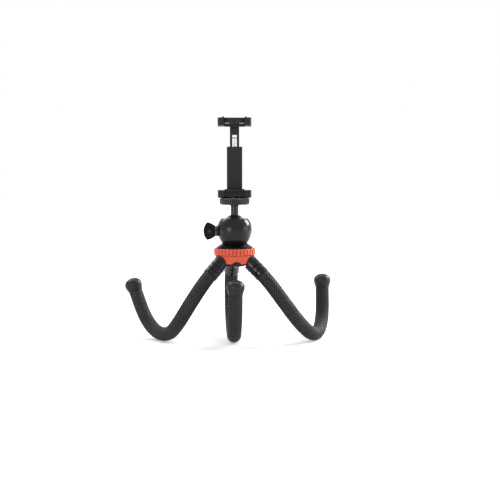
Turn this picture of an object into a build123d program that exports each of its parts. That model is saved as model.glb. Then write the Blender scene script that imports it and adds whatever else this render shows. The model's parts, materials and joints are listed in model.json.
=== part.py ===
"""Flexible leg tripod with a ball head and a sprung phone clamp, in millimetres.

+Z is up, +Y is away from the viewer and the origin is on the floor under the hub. The legs
are curled to grip a rail that runs along X, and each knuckle opens until its leg is straight.
"""

from build123d import *
import math
import os

os.makedirs("parts", exist_ok=True)

# Shared fits
overrun = 2.0
running_gap = 0.3
snug_gap = 0.15
edge_break = 0.4

# Legs: a rubber sleeve on a bendable wire, held in a ferrule and closed by a foot cap
leg_d = 16.4
ferrule_d = 17.6
ferrule_len = 20.0
ferrule_groove_w = 1.6
ferrule_groove_depth = 0.8
ferrule_groove_shares = (0.36, 0.68)
ferrule_spigot_d = 9.0
ferrule_spigot_len = 5.0
sleeve_spigot_d = 10.0
sleeve_spigot_len = 5.0
foot_cap_d = 20.6
foot_cap_len = 17.0
foot_cap_mouth_d = 17.2
foot_spigot_d = 12.6
foot_spigot_len = 9.0
foot_wide_share = 0.53
foot_flat_d = 6.0
wire_end_gap = 0.3
wire_d = 3.0
wire_clearance = 0.4
wire_start_inset = 4.0
wire_end_inset = 10.5
knuckle_gap = 0.3
knuckle_spare_deg = 5.0
cup_lean_deg = 55.0

# Leg routes: the runs between knuckles, and how each leg is curled at rest
leg_azimuths_deg = {"rear": 96.0, "left": 216.0, "right": 336.0}
socket_dip_deg = 42.0
socket_radius = 20.2
socket_z = 93.4
socket_boss_len = 3.5
leg_runs = (30.0, 30.0, 30.0, 28.0, 26.0, 28.0, 50.0)
bed_run = 3
# heading in the plane across the rail (0 is away, 90 is up), and lean to the right
leg_curl_deg = {
    "rear": ((284, 0), (240, 2), (None, 3), (180, 3), (137, 2), (93, 1)),
    "left": ((258, -33), (283, -30), (None, -25), (0, -40), (42, -32), (78, -20)),
    "right": ((259, 36), (275, 36), (None, 35), (0, 26), (40, 12), (80, 0)),
}

# Hub
skirt_top_r = 23.0
skirt_bottom_r = 20.8
skirt_bottom_z = 92.8
skirt_wall = 2.0
deck_z = 102.1
deck_t = 1.6
hub_post_r = 14.0
hub_notch_w = 11.0
hub_notch_h = 2.8
hub_notch_azimuths_deg = (36.0, 156.0, 276.0)
carrier_bottom_z = 90.6
carrier_pocket_r = 7.5
carrier_pocket_h = 5.0
plate_r = 11.5
plate_t = 1.4
plate_screw_r = 9.4
plate_screw_d = 2.2
plate_screw_head_d = 3.6
plate_screw_head_h = 0.8
plate_screw_len = 4.0
ring_r = 24.1
ring_h = 7.7
ring_rib_count = 34
ring_flute_depth = 0.8
ring_lip_h = 1.0
ring_edge = 0.8
square_turn_deg = 45.0
pan_bolt_d = 6.0
pan_bolt_head_d = 10.0
pan_bolt_head_h = 2.4
pan_bolt_reach = 8.0
pan_washer_d = 13.0
pan_washer_t = 1.0
hex_key_w = 4.0
hex_sides = 6
hex_key_depth = 1.6

# Ball head
base_bottom_r = 21.2
base_h = 5.2
base_top_r = 14.9
base_edge_h = 0.9
base_pivot_r = 10.0
base_pivot_depth = 2.4
housing_r = 20.1
housing_seat_r = 14.4
housing_rise = 15.9
housing_spigot_r = 8.0
housing_spigot_len = 2.0
ball_r = 12.5
ball_drop = 5.8
rim_rise = 7.5
ball_gap = 0.3
drop_notch_w = 10.8
collar_step = 0.35
collar_drop = 1.1
apron_half_w = 10.8
apron_low = 6.0
stem_d = 9.0
stem_collar_d = 10.0
stem_collar_h = 0.9
stud_d = 6.2
stud_grip = 8.0
disc_d = 34.5
disc_h = 7.6
disc_lift = 23.4
disc_rib_count = 44
disc_flute_depth = 0.9
disc_edge = 1.3
disc_dish_r = 11.0
disc_dish_depth = 0.8
knob_z_drop = 1.4
knob_reach = 14.2
knob_half_h = 10.3
knob_neck_half_h = 5.4
knob_corner_r = 1.8
knob_t = 7.0
knob_thin_t = 4.6
knob_crown = 4.2
knob_bulge = 0.8
knob_boss_d = 6.4
knob_boss_h = 0.9
lock_screw_d = 5.0
pad_d = 6.4
pad_len = 2.6
boss_r = 6.2
boss_len = 1.6

# Phone clamp
jaw_half_w = 19.4
jaw_front = 8.0
jaw_back = 12.6
clamp_gap = 0.3
lower_jaw_h = 7.4
jaw_pad_t = 2.0
phone_gap_h = 73.1
upper_jaw_h = 8.8
jaw_post_w = 7.4
jaw_corner_r = 3.3
jaw_chamfer = 1.2
pad_side_inset = 0.8
pad_lip_h = 0.9
pad_lip_w = 1.6
window_half_w = 11.6
window_depth = 4.0
lower_window_depth = 2.4
slit_inner_x = 5.6
slit_outer_x = 10.8
slit_h = 1.6
slit_floor = 0.9
bar_half_w = 8.4
bar_drop = 0.5
ear_w = 2.0
ear_h = 1.0
column_half_w = 9.0
column_front = 4.8
column_h = 52.0
slide_half_w = 5.4
slide_t = 3.6
slide_front = 6.4
slide_bottom_rise = 24.0
slide_slot_half_w = 2.6
spring_d = 3.4
spring_bore_d = 2.0
spring_pin_d = 1.8
spring_low_rise = 4.0
spring_high_rise = 62.0
cover_t = 1.4
cover_screw_d = 1.8
cover_screw_head_d = 3.2
cover_screw_head_h = 0.7
cover_screw_len = 4.5
cover_screw_inset = 2.0
insert_d = 9.0
insert_collar_d = 11.0
insert_collar_h = 1.2
lower_bar_h = 4.6
lower_bar_half_w = 6.8

# Places that follow from the sizes
on_base = (Align.CENTER, Align.CENTER, Align.MIN)
leg_r = leg_d / 2
ferrule_r = ferrule_d / 2
bore_r = wire_d / 2 + wire_clearance
deck_top = deck_z
ring_bottom_z = deck_top + running_gap
ring_top_z = ring_bottom_z + ring_h
base_z = ring_top_z + running_gap
housing_seat_z = base_z + base_h
housing_z = housing_seat_z + housing_rise
ball_z = housing_z + ball_drop
rim_z = ball_z + rim_rise
cavity_r = ball_r + ball_gap
knob_z = housing_z - knob_z_drop
disc_z = ball_z + disc_lift
clamp_z = disc_z + disc_h + clamp_gap
jaw_floor_z = clamp_z + lower_jaw_h
phone_low_z = jaw_floor_z + jaw_pad_t
phone_high_z = phone_low_z + phone_gap_h
jaw_roof_z = phone_high_z + jaw_pad_t
jaw_mid_y = (jaw_back - jaw_front) / 2
jaw_depth = jaw_back + jaw_front
column_top_z = jaw_floor_z + column_h
post_top_z = base_z + base_pivot_depth


def tube(radius, low, high, x=0, y=0):
    """A solid cylinder standing on z = low."""
    return Pos(x, y, low) * Cylinder(radius, high - low, align=on_base)


def block(x0, x1, y0, y1, z0, z1):
    """A box between two corners."""
    return Pos(x0, y0, z0) * Box(x1 - x0, y1 - y0, z1 - z0, align=(Align.MIN,) * 3)


def turned(outline):
    """A solid of revolution about Z from a closed outline in radius and height."""
    return revolve(make_face(Plane.XZ * outline), Axis.Z)


def spun(*points):
    """A solid of revolution about Z from an outline of (radius, height) points."""
    return turned(Polyline(*points, close=True))


def along_x(radius, x0, x1, z, y=0):
    """A solid cylinder along X."""
    frame = Plane(origin=(x0, y, z), x_dir=(0, 1, 0), z_dir=(1, 0, 0))
    return frame * Cylinder(radius, x1 - x0, align=on_base)


def along_y(radius, y0, y1, x, z):
    """A solid cylinder along Y."""
    frame = Plane(origin=(x, y0, z), x_dir=(1, 0, 0), z_dir=(0, 1, 0))
    return frame * Cylinder(radius, y1 - y0, align=on_base)


def single(shape):
    """The one solid of a shape, which is the largest where a cut leaves crumbs."""
    return max(shape.solids(), key=lambda solid: solid.volume)


def save(shape, name):
    """Write one sub-part."""
    shape.label = name
    export_step(shape, "parts/" + name + ".step")


def socket_direction(leg):
    """Unit vector down a leg's socket, away from the hub."""
    azimuth = math.radians(leg_azimuths_deg[leg])
    dip = math.radians(socket_dip_deg)
    return Vector(math.cos(dip) * math.cos(azimuth), math.cos(dip) * math.sin(azimuth), -math.sin(dip))


def socket_point(leg):
    """Where a leg's ferrule leaves the hub."""
    azimuth = math.radians(leg_azimuths_deg[leg])
    return Vector(socket_radius * math.cos(azimuth), socket_radius * math.sin(azimuth), socket_z)


def bed_heading(leg, height, length, lean):
    """Heading, in degrees, of the run that comes down to the floor from a height."""
    drop = (height - leg_r) / (length * math.cos(math.radians(lean)))
    steep = math.degrees(math.asin(max(-1, min(1, drop))))
    return 180 + steep if leg == "rear" else 360 - steep


def leg_directions(leg):
    """The unit direction of each run of a leg at rest."""
    directions = [socket_direction(leg)]
    point = socket_point(leg) + directions[0] * leg_runs[0]
    for run, (heading, lean) in enumerate(leg_curl_deg[leg], start=1):
        if run == bed_run:
            heading = bed_heading(leg, point.Z, leg_runs[run], lean)
        turn, side = math.radians(heading), math.radians(lean)
        across = math.cos(side)
        direction = Vector(math.sin(side), across * math.cos(turn), across * math.sin(turn))
        directions.append(direction)
        point = point + direction * leg_runs[run]
    return directions


def leg_points(leg):
    """The hub face, each knuckle and the toe of a leg, along its centre line."""
    points = [socket_point(leg)]
    for length, direction in zip(leg_runs, leg_directions(leg)):
        points.append(points[-1] + direction * length)
    return points


def bend_deg(before, after):
    """The angle of a knuckle at rest."""
    return math.degrees(math.acos(max(-1, min(1, before.dot(after)))))


def run_plane(origin, direction, towards):
    """A frame with Z along a run and X to the side that the leg next bends to."""
    side = towards - direction * towards.dot(direction)
    return Plane(origin=origin, x_dir=side.normalized(), z_dir=direction)


def knuckle_cut(bend):
    """How far from a knuckle each tube stops, so that their rims clear at its tightest."""
    return leg_r * math.tan(math.radians(bend + knuckle_spare_deg) / 2)


def cup_start(bend):
    """Bore, mouth and rim of the tapered cup that takes the last link's ball."""
    lean = math.radians(cup_lean_deg)
    reach = leg_r + knuckle_gap
    knife_edge = (reach - leg_r * math.sin(lean)) / math.cos(lean)
    rim = max(knife_edge + edge_break, knuckle_cut(bend))
    mouth = (reach - rim * math.cos(lean)) / math.sin(lean)
    floor = (reach - bore_r * math.sin(lean)) / math.cos(lean)
    return [(bore_r, floor), (mouth, rim), (leg_r, rim)]


def root_start():
    """Bore and socket of the first run, which slips over the ferrule's spigot."""
    socket_r = sleeve_spigot_d / 2 + snug_gap
    floor = ferrule_len + sleeve_spigot_len + snug_gap
    return [(bore_r, floor), (socket_r, floor), (socket_r, ferrule_len), (leg_r, ferrule_len)]


def sleeve_link(start, length, bend):
    """A run of sleeve from its start outline to the knuckle's ball, slotted so that the wire can swing."""
    neck = length - knuckle_cut(bend)
    waist = math.sqrt(leg_r**2 - knuckle_cut(bend) ** 2)
    crown = length + math.sqrt(leg_r**2 - bore_r**2)
    side = Polyline(*start, (leg_r, neck), (waist, neck))
    ball = ThreePointArc((waist, neck), (leg_r, length), (bore_r, crown))
    body = turned(side + ball + Line((bore_r, crown), start[0]))
    return body - block(0, leg_r + overrun, -bore_r, bore_r, length - wire_clearance, crown + overrun)


def toe_link(length, bend):
    """The last run, which ends in a spigot inside the foot cap."""
    shoulder = length - foot_cap_len
    spigot_r = foot_spigot_d / 2
    tip = shoulder + foot_spigot_len
    bore_end = length - wire_end_inset + wire_end_gap
    bore = [(0, tip), (0, bore_end), (bore_r, bore_end)]
    return spun(*cup_start(bend), (leg_r, shoulder), (spigot_r, shoulder), (spigot_r, tip), *bore)


def foot_cap(length):
    """A moulded rubber bulb, widest near its toe and flat at the tip."""
    mouth = length - foot_cap_len
    wide = mouth + foot_cap_len * foot_wide_share
    mouth_r, wide_r, flat_r = foot_cap_mouth_d / 2, foot_cap_d / 2, foot_flat_d / 2
    socket_r = foot_spigot_d / 2 + snug_gap
    floor = mouth + foot_spigot_len + snug_gap
    swell = TangentArc((wide_r, wide), (mouth_r, mouth), tangent=(0, -1))
    toe = TangentArc((wide_r, wide), (flat_r, length), tangent=(0, 1))
    socket = [(0, floor), (socket_r, floor), (socket_r, mouth), (mouth_r, mouth)]
    return turned(swell + toe + Polyline((flat_r, length), (0, length), *socket))


def ferrule():
    """The moulded collar that carries a leg in the hub, with two grooves and a spigot each end."""
    hub_r, sleeve_r = ferrule_spigot_d / 2, sleeve_spigot_d / 2
    grooves = []
    for share in ferrule_groove_shares:
        low = ferrule_len * share
        floor = (ferrule_r - ferrule_groove_depth, low + ferrule_groove_w / 2)
        grooves += [(ferrule_r, low), floor, (ferrule_r, low + ferrule_groove_w)]
    tip = ferrule_len + sleeve_spigot_len
    return spun(
        (bore_r, -ferrule_spigot_len),
        (hub_r, -ferrule_spigot_len),
        (hub_r, 0),
        (ferrule_r, 0),
        *grooves,
        (ferrule_r, ferrule_len - edge_break),
        (ferrule_r - edge_break, ferrule_len),
        (sleeve_r, ferrule_len),
        (sleeve_r, tip),
        (bore_r, tip),
    )


def core_wire(leg):
    """The bendable wire of a leg, from the ferrule's spigot to the toe."""
    points, directions = leg_points(leg), leg_directions(leg)
    first = points[0] - directions[0] * wire_start_inset
    last = points[-1] - directions[-1] * wire_end_inset
    path = Polyline(first, *points[1:-1], last)
    section = Plane(origin=first, z_dir=directions[0]) * Circle(wire_d / 2)
    return sweep(section, path, transition=Transition.RIGHT)


def make_leg(leg):
    """All the pieces of one leg."""
    points, directions = leg_points(leg), leg_directions(leg)
    hub_frame = run_plane(points[0], directions[0], directions[1])
    save(single(hub_frame * ferrule()), leg + "_leg_ferrule")
    bends = [bend_deg(a, b) for a, b in zip(directions, directions[1:])]
    print(leg, "leg bends", [round(bend, 1) for bend in bends], "toe", points[-1])
    save(single(hub_frame * sleeve_link(root_start(), leg_runs[0], bends[0])), leg + "_leg_sleeve_0")
    last = len(leg_runs) - 1
    for run in range(1, last):
        frame = run_plane(points[run], directions[run], directions[run + 1])
        link = sleeve_link(cup_start(bends[run - 1]), leg_runs[run], bends[run])
        save(single(frame * link), leg + "_leg_sleeve_" + str(run))
    frame = run_plane(points[last], directions[last], -directions[last - 1])
    save(single(frame * toe_link(leg_runs[last], bends[last - 1])), leg + "_leg_sleeve_" + str(last))
    save(single(frame * foot_cap(leg_runs[last])), leg + "_leg_foot_cap")
    save(single(core_wire(leg)), leg + "_leg_core_wire")


def leg_space(leg, radius, inner):
    """The room that a ferrule's body or spigot needs in the hub."""
    frame = Plane(origin=socket_point(leg), z_dir=socket_direction(leg))
    reach = ferrule_len + overrun
    return frame * tube(radius, -inner, reach)


def hub_shell():
    """The red hub body: a tapered skirt with arches for the legs, a deck and a pivot post."""
    bottom, top = skirt_bottom_z, deck_top
    taper = (skirt_top_r - skirt_bottom_r) / (top - bottom)
    under_deck = top - deck_t
    body = spun(
        (skirt_bottom_r - skirt_wall, bottom),
        (skirt_bottom_r, bottom),
        (skirt_top_r, top),
        (hub_post_r, top),
        (hub_post_r, base_z - running_gap),
        (base_pivot_r, base_z - running_gap),
        (base_pivot_r, post_top_z - running_gap),
        (pan_bolt_d / 2 + snug_gap, post_top_z - running_gap),
        (pan_bolt_d / 2 + snug_gap, under_deck),
        (skirt_bottom_r - skirt_wall + taper * (under_deck - bottom), under_deck),
    )
    for leg in leg_azimuths_deg:
        body = body - leg_space(leg, ferrule_r + running_gap, socket_boss_len + snug_gap)
        body = body - leg_space(leg, ferrule_spigot_d / 2 + snug_gap, ferrule_spigot_len + snug_gap)
    arch_r = (hub_notch_h**2 + (hub_notch_w / 2) ** 2) / (2 * hub_notch_h)
    arch_in, arch_out = skirt_bottom_r - skirt_wall - overrun, skirt_top_r + overrun
    arch = along_x(arch_r, arch_in, arch_out, bottom + hub_notch_h - arch_r)
    for azimuth in hub_notch_azimuths_deg:
        body = body - Rot(0, 0, azimuth) * arch
    return single(body)


def leg_carrier():
    """The black core of the hub, with one angled boss and socket for each leg."""
    taper = (skirt_top_r - skirt_bottom_r) / (deck_top - skirt_bottom_z)
    top = deck_top - deck_t - snug_gap
    inner_low = skirt_bottom_r - skirt_wall - snug_gap
    inner_top = inner_low + taper * (top - skirt_bottom_z)
    body = spun(
        (0, carrier_bottom_z),
        (inner_low - edge_break, carrier_bottom_z),
        (inner_low, skirt_bottom_z),
        (inner_top, top),
        (0, top),
    )
    bosses = [leg_space(leg, ferrule_r, socket_boss_len) for leg in leg_azimuths_deg]
    body = body + (Part() + bosses & tube(skirt_top_r + ferrule_r, carrier_bottom_z, deck_top))
    body = body - tube(carrier_pocket_r, carrier_bottom_z - overrun, carrier_bottom_z + carrier_pocket_h)
    body = body - tube(pan_bolt_d / 2 + snug_gap, carrier_bottom_z, top + overrun)
    screw_low, screw_tip = carrier_bottom_z - overrun, carrier_bottom_z + plate_screw_len
    for x, y in screw_ring(plate_screw_r):
        body = body - tube(plate_screw_d / 2, screw_low, screw_tip, x, y)
    for leg in leg_azimuths_deg:
        body = body - leg_space(leg, ferrule_r + snug_gap, snug_gap)
        body = body - leg_space(leg, ferrule_spigot_d / 2, ferrule_spigot_len)
    return single(body)


def screw_ring(radius):
    """Places of the bottom plate's screws, each between two legs."""
    turns = [math.radians(azimuth) for azimuth in hub_notch_azimuths_deg]
    return [(radius * math.cos(turn), radius * math.sin(turn)) for turn in turns]


def bottom_plate():
    """The small plate that closes the hub under the pan bolt."""
    top = carrier_bottom_z
    body = tube(plate_r, top - plate_t, top)
    body = chamfer(body.edges().filter_by(GeomType.CIRCLE).group_by(Axis.Z)[0], edge_break)
    for x, y in screw_ring(plate_screw_r):
        body = body - tube(plate_screw_d / 2, top - plate_t - overrun, top + overrun, x, y)
    return single(body)


def plate_screws():
    """Three cheese head screws in the bottom plate."""
    low = carrier_bottom_z - plate_t
    screws = []
    for x, y in screw_ring(plate_screw_r):
        head = tube(plate_screw_head_d / 2, low - plate_screw_head_h, low, x, y)
        screws.append(single(head + tube(plate_screw_d / 2, low, carrier_bottom_z + plate_screw_len, x, y)))
    return Compound(children=screws)


def v_grooves(radius, depth, count, low, height):
    """Cutters for upright V grooves, evenly spaced round a rim."""
    side = depth * math.sqrt(2)
    groove = Rot(0, 0, square_turn_deg) * Rectangle(side, side)
    return extrude(Pos(0, 0, low) * (Sketch() + PolarLocations(radius, count) * groove), height)


def pan_ring():
    """The ribbed ring that locks the pan, with a plain lip under the ribs."""
    bore = hub_post_r + running_gap
    blank = spun(
        (bore, ring_bottom_z),
        (ring_r - ring_edge, ring_bottom_z),
        (ring_r, ring_bottom_z + ring_edge),
        (ring_r, ring_top_z - ring_edge),
        (ring_r - ring_edge, ring_top_z),
        (bore, ring_top_z),
    )
    low = ring_bottom_z + ring_lip_h
    return single(blank - v_grooves(ring_r, ring_flute_depth, ring_rib_count, low, ring_h))


def swivel_base():
    """The black cone under the ball housing, which pans on the hub's post."""
    top = base_z + base_h
    body = spun(
        (pan_bolt_d / 2 + snug_gap, post_top_z),
        (base_pivot_r + running_gap, post_top_z),
        (base_pivot_r + running_gap, base_z),
        (base_bottom_r, base_z),
        (base_bottom_r, base_z + base_edge_h),
        (base_top_r, top),
        (housing_spigot_r, top),
        (housing_spigot_r, top - housing_spigot_len),
        (pan_bolt_d / 2 + snug_gap, top - housing_spigot_len),
    )
    return single(body)


def pan_bolt():
    """The shouldered bolt that holds the ball head down on the hub."""
    head_top = carrier_bottom_z + carrier_pocket_h - pan_washer_t - snug_gap
    head_low = head_top - pan_bolt_head_h
    tip = housing_seat_z + pan_bolt_reach
    head = tube(pan_bolt_head_d / 2, head_low, head_top)
    head = chamfer(head.edges().filter_by(GeomType.CIRCLE), edge_break)
    key_plan = RegularPolygon(hex_key_w / 2, hex_sides, major_radius=False)
    key = extrude(Pos(0, 0, head_low) * key_plan, hex_key_depth)
    return single(head + tube(pan_bolt_d / 2, head_top - edge_break, tip) - key)


def pan_washer():
    """The spring washer between the bolt's head and the carrier."""
    top = carrier_bottom_z + carrier_pocket_h - snug_gap / 2
    ring = tube(pan_washer_d / 2, top - pan_washer_t, top)
    return single(ring - tube(pan_bolt_d / 2 + snug_gap, top - pan_washer_t - overrun, top + overrun))


def drop_notch():
    """The slot in the back of the housing that the stem drops into."""
    low = Plane(origin=(0, 0, ball_z), x_dir=(1, 0, 0), z_dir=(0, 1, 0))
    round_end = low * Cylinder(drop_notch_w / 2, housing_r + overrun, align=on_base)
    sides = block(-drop_notch_w / 2, drop_notch_w / 2, 0, housing_r + overrun, ball_z, rim_z + overrun)
    return round_end + sides


def collar_apron():
    """The collar band over the housing's upper part, with an apron at the front."""
    outside = housing_r + overrun
    apron = block(-apron_half_w, apron_half_w, -outside, 0, ball_z - apron_low, ball_z)
    apron = chamfer(apron.edges().filter_by(Axis.Y).group_by(Axis.Z)[0], apron_low / 2)
    skin = Pos(0, 0, housing_z) * Sphere(housing_r + collar_step)
    return skin & (tube(outside, ball_z - collar_drop, rim_z) + apron)


def ball_cavity():
    """The room for the ball, with the throat that holds it in."""
    throat = math.sqrt(cavity_r**2 - rim_rise**2)
    top = rim_z + overrun
    round_part = ThreePointArc((0, ball_z - cavity_r), (cavity_r, ball_z), (throat, rim_z))
    return turned(round_part + Polyline((throat, rim_z), (throat, top), (0, top), (0, ball_z - cavity_r)))


def ball_housing():
    """The near-spherical housing that the ball turns in, with its lock boss on the left."""
    rim_r = math.sqrt(housing_r**2 - (rim_z - housing_z) ** 2)
    spigot_r, spigot_low = housing_spigot_r - snug_gap, housing_seat_z - housing_spigot_len + snug_gap
    bolt_r, bolt_top = pan_bolt_d / 2, housing_seat_z + pan_bolt_reach
    inset = housing_r - housing_seat_r
    bulge_r = (inset**2 + housing_rise**2) / (2 * inset)
    half = math.asin(housing_rise / bulge_r) / 2
    middle = (housing_r - bulge_r + bulge_r * math.cos(half), housing_z - bulge_r * math.sin(half))
    lower = ThreePointArc((housing_seat_r, housing_seat_z), middle, (housing_r, housing_z))
    turn = math.asin((rim_z - housing_z) / housing_r) / 2
    shoulder = (housing_r * math.cos(turn), housing_z + housing_r * math.sin(turn))
    upper = ThreePointArc((housing_r, housing_z), shoulder, (rim_r, rim_z))
    inside = Polyline(
        (rim_r, rim_z),
        (0, rim_z),
        (0, bolt_top),
        (bolt_r, bolt_top),
        (bolt_r, spigot_low),
        (spigot_r, spigot_low),
        (spigot_r, housing_seat_z),
        (housing_seat_r, housing_seat_z),
    )
    boss_end = -housing_r - boss_len
    body = turned(lower + upper + inside) + collar_apron() + along_x(boss_r, boss_end, -cavity_r, knob_z)
    body = body - ball_cavity() - drop_notch()
    body = body - along_x(lock_screw_d / 2 + snug_gap, boss_end - overrun, 0, knob_z)
    return single(body - along_x(pad_d / 2 + snug_gap, pad_outer_x() - snug_gap, 0, knob_z))


def pad_outer_x():
    """The outer face of the brake pad, which the lock screw pushes on."""
    drop = ball_z - knob_z
    face = math.sqrt(ball_r**2 - drop**2)
    return -face - pad_len


def brake_pad():
    """The brass pad that the lock screw presses on the ball, hollowed to the ball."""
    pad = along_x(pad_d / 2, pad_outer_x(), -ball_r / 2, knob_z)
    return single(pad - Pos(0, 0, ball_z) * Sphere(ball_r + snug_gap))


def lock_screw():
    """The threaded rod from the knob to the brake pad."""
    rod = along_x(lock_screw_d / 2, -knob_root_x() - knob_reach / 2, pad_outer_x() - snug_gap, knob_z)
    return single(chamfer(rod.edges().filter_by(GeomType.CIRCLE).group_by(Axis.X)[-1], edge_break))


def knob_root_x():
    """How far left of the axis the lock knob starts."""
    return housing_r + boss_len + running_gap


def knob_outline(near, far):
    """The paddle seen from the front: bulged flanks that flare from the neck, and a bowed end."""
    corner = far + knob_crown
    flank_x, flank_z = (near + corner) / 2, (knob_neck_half_h + knob_half_h) / 2 + knob_bulge
    lines = Line((near, -knob_neck_half_h), (near, knob_neck_half_h))
    lines += ThreePointArc((near, knob_neck_half_h), (flank_x, flank_z), (corner, knob_half_h))
    lines += ThreePointArc((corner, knob_half_h), (far, 0), (corner, -knob_half_h))
    return lines + ThreePointArc((corner, -knob_half_h), (flank_x, -flank_z), (near, -knob_neck_half_h))


def lock_knob():
    """The flared paddle knob, thinner towards its end, with a round boss on each face."""
    near, far = -knob_root_x(), -knob_root_x() - knob_reach
    blade = extrude(make_face(Plane.XZ * knob_outline(near, far)), knob_t / 2, both=True)
    for side in (1, -1):
        end = (far - overrun, side * knob_thin_t / 2)
        outer = side * (knob_t + overrun)
        wedge = Polyline((near, side * knob_t / 2), end, (far - overrun, outer), (near, outer), close=True)
        blade = blade - extrude(make_face(wedge), knob_half_h + overrun, both=True)
    corners = [e for e in blade.edges().filter_by(Axis.Y) if e.center().X < near - edge_break]
    blade = fillet(corners, knob_corner_r)
    boss_x = (near + far) / 2 + edge_break
    boss = along_y(knob_boss_d / 2, -knob_t / 2 - knob_boss_h / 2, knob_t / 2 + knob_boss_h / 2, boss_x, 0)
    boss = chamfer(boss.edges().filter_by(GeomType.CIRCLE), edge_break)
    body = Pos(0, 0, knob_z) * (blade + boss)
    bore_end = far + knob_reach / 2 - snug_gap
    return single(body - along_x(lock_screw_d / 2 + snug_gap, bore_end, near + overrun, knob_z))


def ball_stem():
    """The ball with its stem, collar and the hole for the camera stud."""
    top = disc_z - running_gap
    collar_low = top - stem_collar_h
    stem_r, collar_r, hole_r = stem_d / 2, stem_collar_d / 2, stud_d / 2
    neck = ball_z + math.sqrt(ball_r**2 - stem_r**2)
    ball = ThreePointArc((0, ball_z - ball_r), (ball_r, ball_z), (stem_r, neck))
    stem = Polyline(
        (stem_r, neck),
        (stem_r, collar_low),
        (collar_r, collar_low),
        (collar_r, top - edge_break),
        (collar_r - edge_break, top),
        (hole_r, top),
        (hole_r, top - stud_grip),
        (0, top - stud_grip),
        (0, ball_z - ball_r),
    )
    return single(turned(ball + stem))


def camera_stud():
    """The quarter inch stud between the ball's stem and the clamp."""
    stud = tube(stud_d / 2, disc_z - running_gap - stud_grip, jaw_floor_z - running_gap)
    return single(chamfer(stud.edges().filter_by(GeomType.CIRCLE), edge_break))


def lock_disc():
    """The knurled disc that locks the clamp on the stud."""
    rim, top = disc_d / 2, disc_z + disc_h
    bore = stud_d / 2 + snug_gap
    dish = disc_z + disc_dish_depth
    blank = spun(
        (bore, disc_z),
        (stem_collar_d / 2, disc_z),
        (stem_collar_d / 2, dish),
        (disc_dish_r, dish),
        (disc_dish_r, disc_z),
        (rim - disc_edge, disc_z),
        (rim, disc_z + disc_edge),
        (rim, top - disc_edge),
        (rim - disc_edge, top),
        (bore, top),
    )
    knurl_h = disc_h - disc_edge * 2
    return single(blank - v_grooves(rim, disc_flute_depth, disc_rib_count, disc_z + disc_edge, knurl_h))


def jaw_blank(low, high):
    """A jaw's outline in plan, with rounded upright corners."""
    plan = RectangleRounded(jaw_half_w * 2, jaw_depth, jaw_corner_r)
    return extrude(Pos(0, jaw_mid_y, low) * plan, high - low)


def pad_pocket(low, high):
    """The seat between a jaw's posts that its rubber pad lies in."""
    return block(-window_half_w, window_half_w, -jaw_front - overrun, column_front, low, high)


def column_screw_places():
    """Places of the back cover's screws, as (x, z)."""
    x = column_half_w - cover_screw_inset
    heights = (jaw_floor_z + spring_low_rise * 2, column_top_z - cover_screw_inset)
    return [(side * x, z) for side in (-1, 1) for z in heights]


def clamp_base():
    """The lower jaw with the hollow column behind the phone that the upper jaw slides in."""
    jaw = jaw_blank(clamp_z, phone_low_z - running_gap)
    low_edges = jaw.edges().group_by(Axis.Z)[0]
    jaw = chamfer(low_edges, jaw_chamfer)
    window_low = clamp_z + lower_bar_h
    front, back = -jaw_front - overrun, jaw_back + overrun
    window_back = -jaw_front + lower_window_depth
    jaw = jaw - block(-window_half_w, window_half_w, front, window_back, window_low, phone_low_z)
    for side in (-1, 1):
        x0, x1 = sorted((side * lower_bar_half_w, side * window_half_w))
        jaw = jaw - block(x0, x1, front, -jaw_front + lower_window_depth / 2, clamp_z + jaw_chamfer, window_low)
    jaw = jaw - pad_pocket(jaw_floor_z, phone_low_z)
    column = block(-column_half_w, column_half_w, column_front, jaw_back, clamp_z + jaw_chamfer, column_top_z)
    column = fillet(column.edges().filter_by(Axis.Z).group_by(Axis.Y)[0], edge_break * 2)
    pocket_half = slide_half_w + running_gap
    pocket_front, cover_seat = slide_front - running_gap, jaw_back - cover_t
    over, high = column_half_w + overrun, column_top_z + overrun
    body = jaw + column
    body = body - block(-pocket_half, pocket_half, pocket_front, back, jaw_floor_z, high)
    body = body - block(-over, over, cover_seat, back, jaw_floor_z, high)
    for x, z in column_screw_places():
        body = body - along_y(cover_screw_d / 2, jaw_back - cover_screw_len, jaw_back, x, z)
    body = body - tube(insert_d / 2, clamp_z - overrun, jaw_floor_z + overrun)
    body = body - tube(insert_collar_d / 2, clamp_z - overrun, clamp_z + insert_collar_h)
    pin_z = jaw_floor_z + spring_low_rise
    return single(body - along_x(spring_pin_d / 2, -over, over, pin_z, slide_mid_y()))


def slide_mid_y():
    """The middle of the slide bar's thickness, where the spring runs."""
    return slide_front + slide_t / 2


def thread_insert():
    """The brass insert with the quarter inch thread, flanged underneath."""
    bore, rim, collar = stud_d / 2 + snug_gap, insert_d / 2, insert_collar_d / 2
    top, collar_top = jaw_floor_z - edge_break, clamp_z + insert_collar_h
    flange = [(bore, clamp_z), (collar, clamp_z), (collar, collar_top)]
    return spun(*flange, (rim, collar_top), (rim, top), (bore, top))


def back_cover():
    """The plate that closes the column over the slide bar."""
    low, high = jaw_floor_z + snug_gap, column_top_z
    plate = block(-column_half_w, column_half_w, jaw_back - cover_t, jaw_back, low, high)
    plate = chamfer(plate.edges().filter_by(Axis.Z).group_by(Axis.Y)[-1], edge_break)
    for x, z in column_screw_places():
        plate = plate - along_y(cover_screw_d / 2, jaw_back - cover_t - overrun, jaw_back + overrun, x, z)
    return single(plate)


def cover_screws():
    """Four small screws in the back cover."""
    screws = []
    for x, z in column_screw_places():
        shank = along_y(cover_screw_d / 2, jaw_back - cover_screw_len, jaw_back, x, z)
        head = along_y(cover_screw_head_d / 2, jaw_back, jaw_back + cover_screw_head_h, x, z)
        screws.append(single(shank + head))
    return Compound(children=screws)


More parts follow.
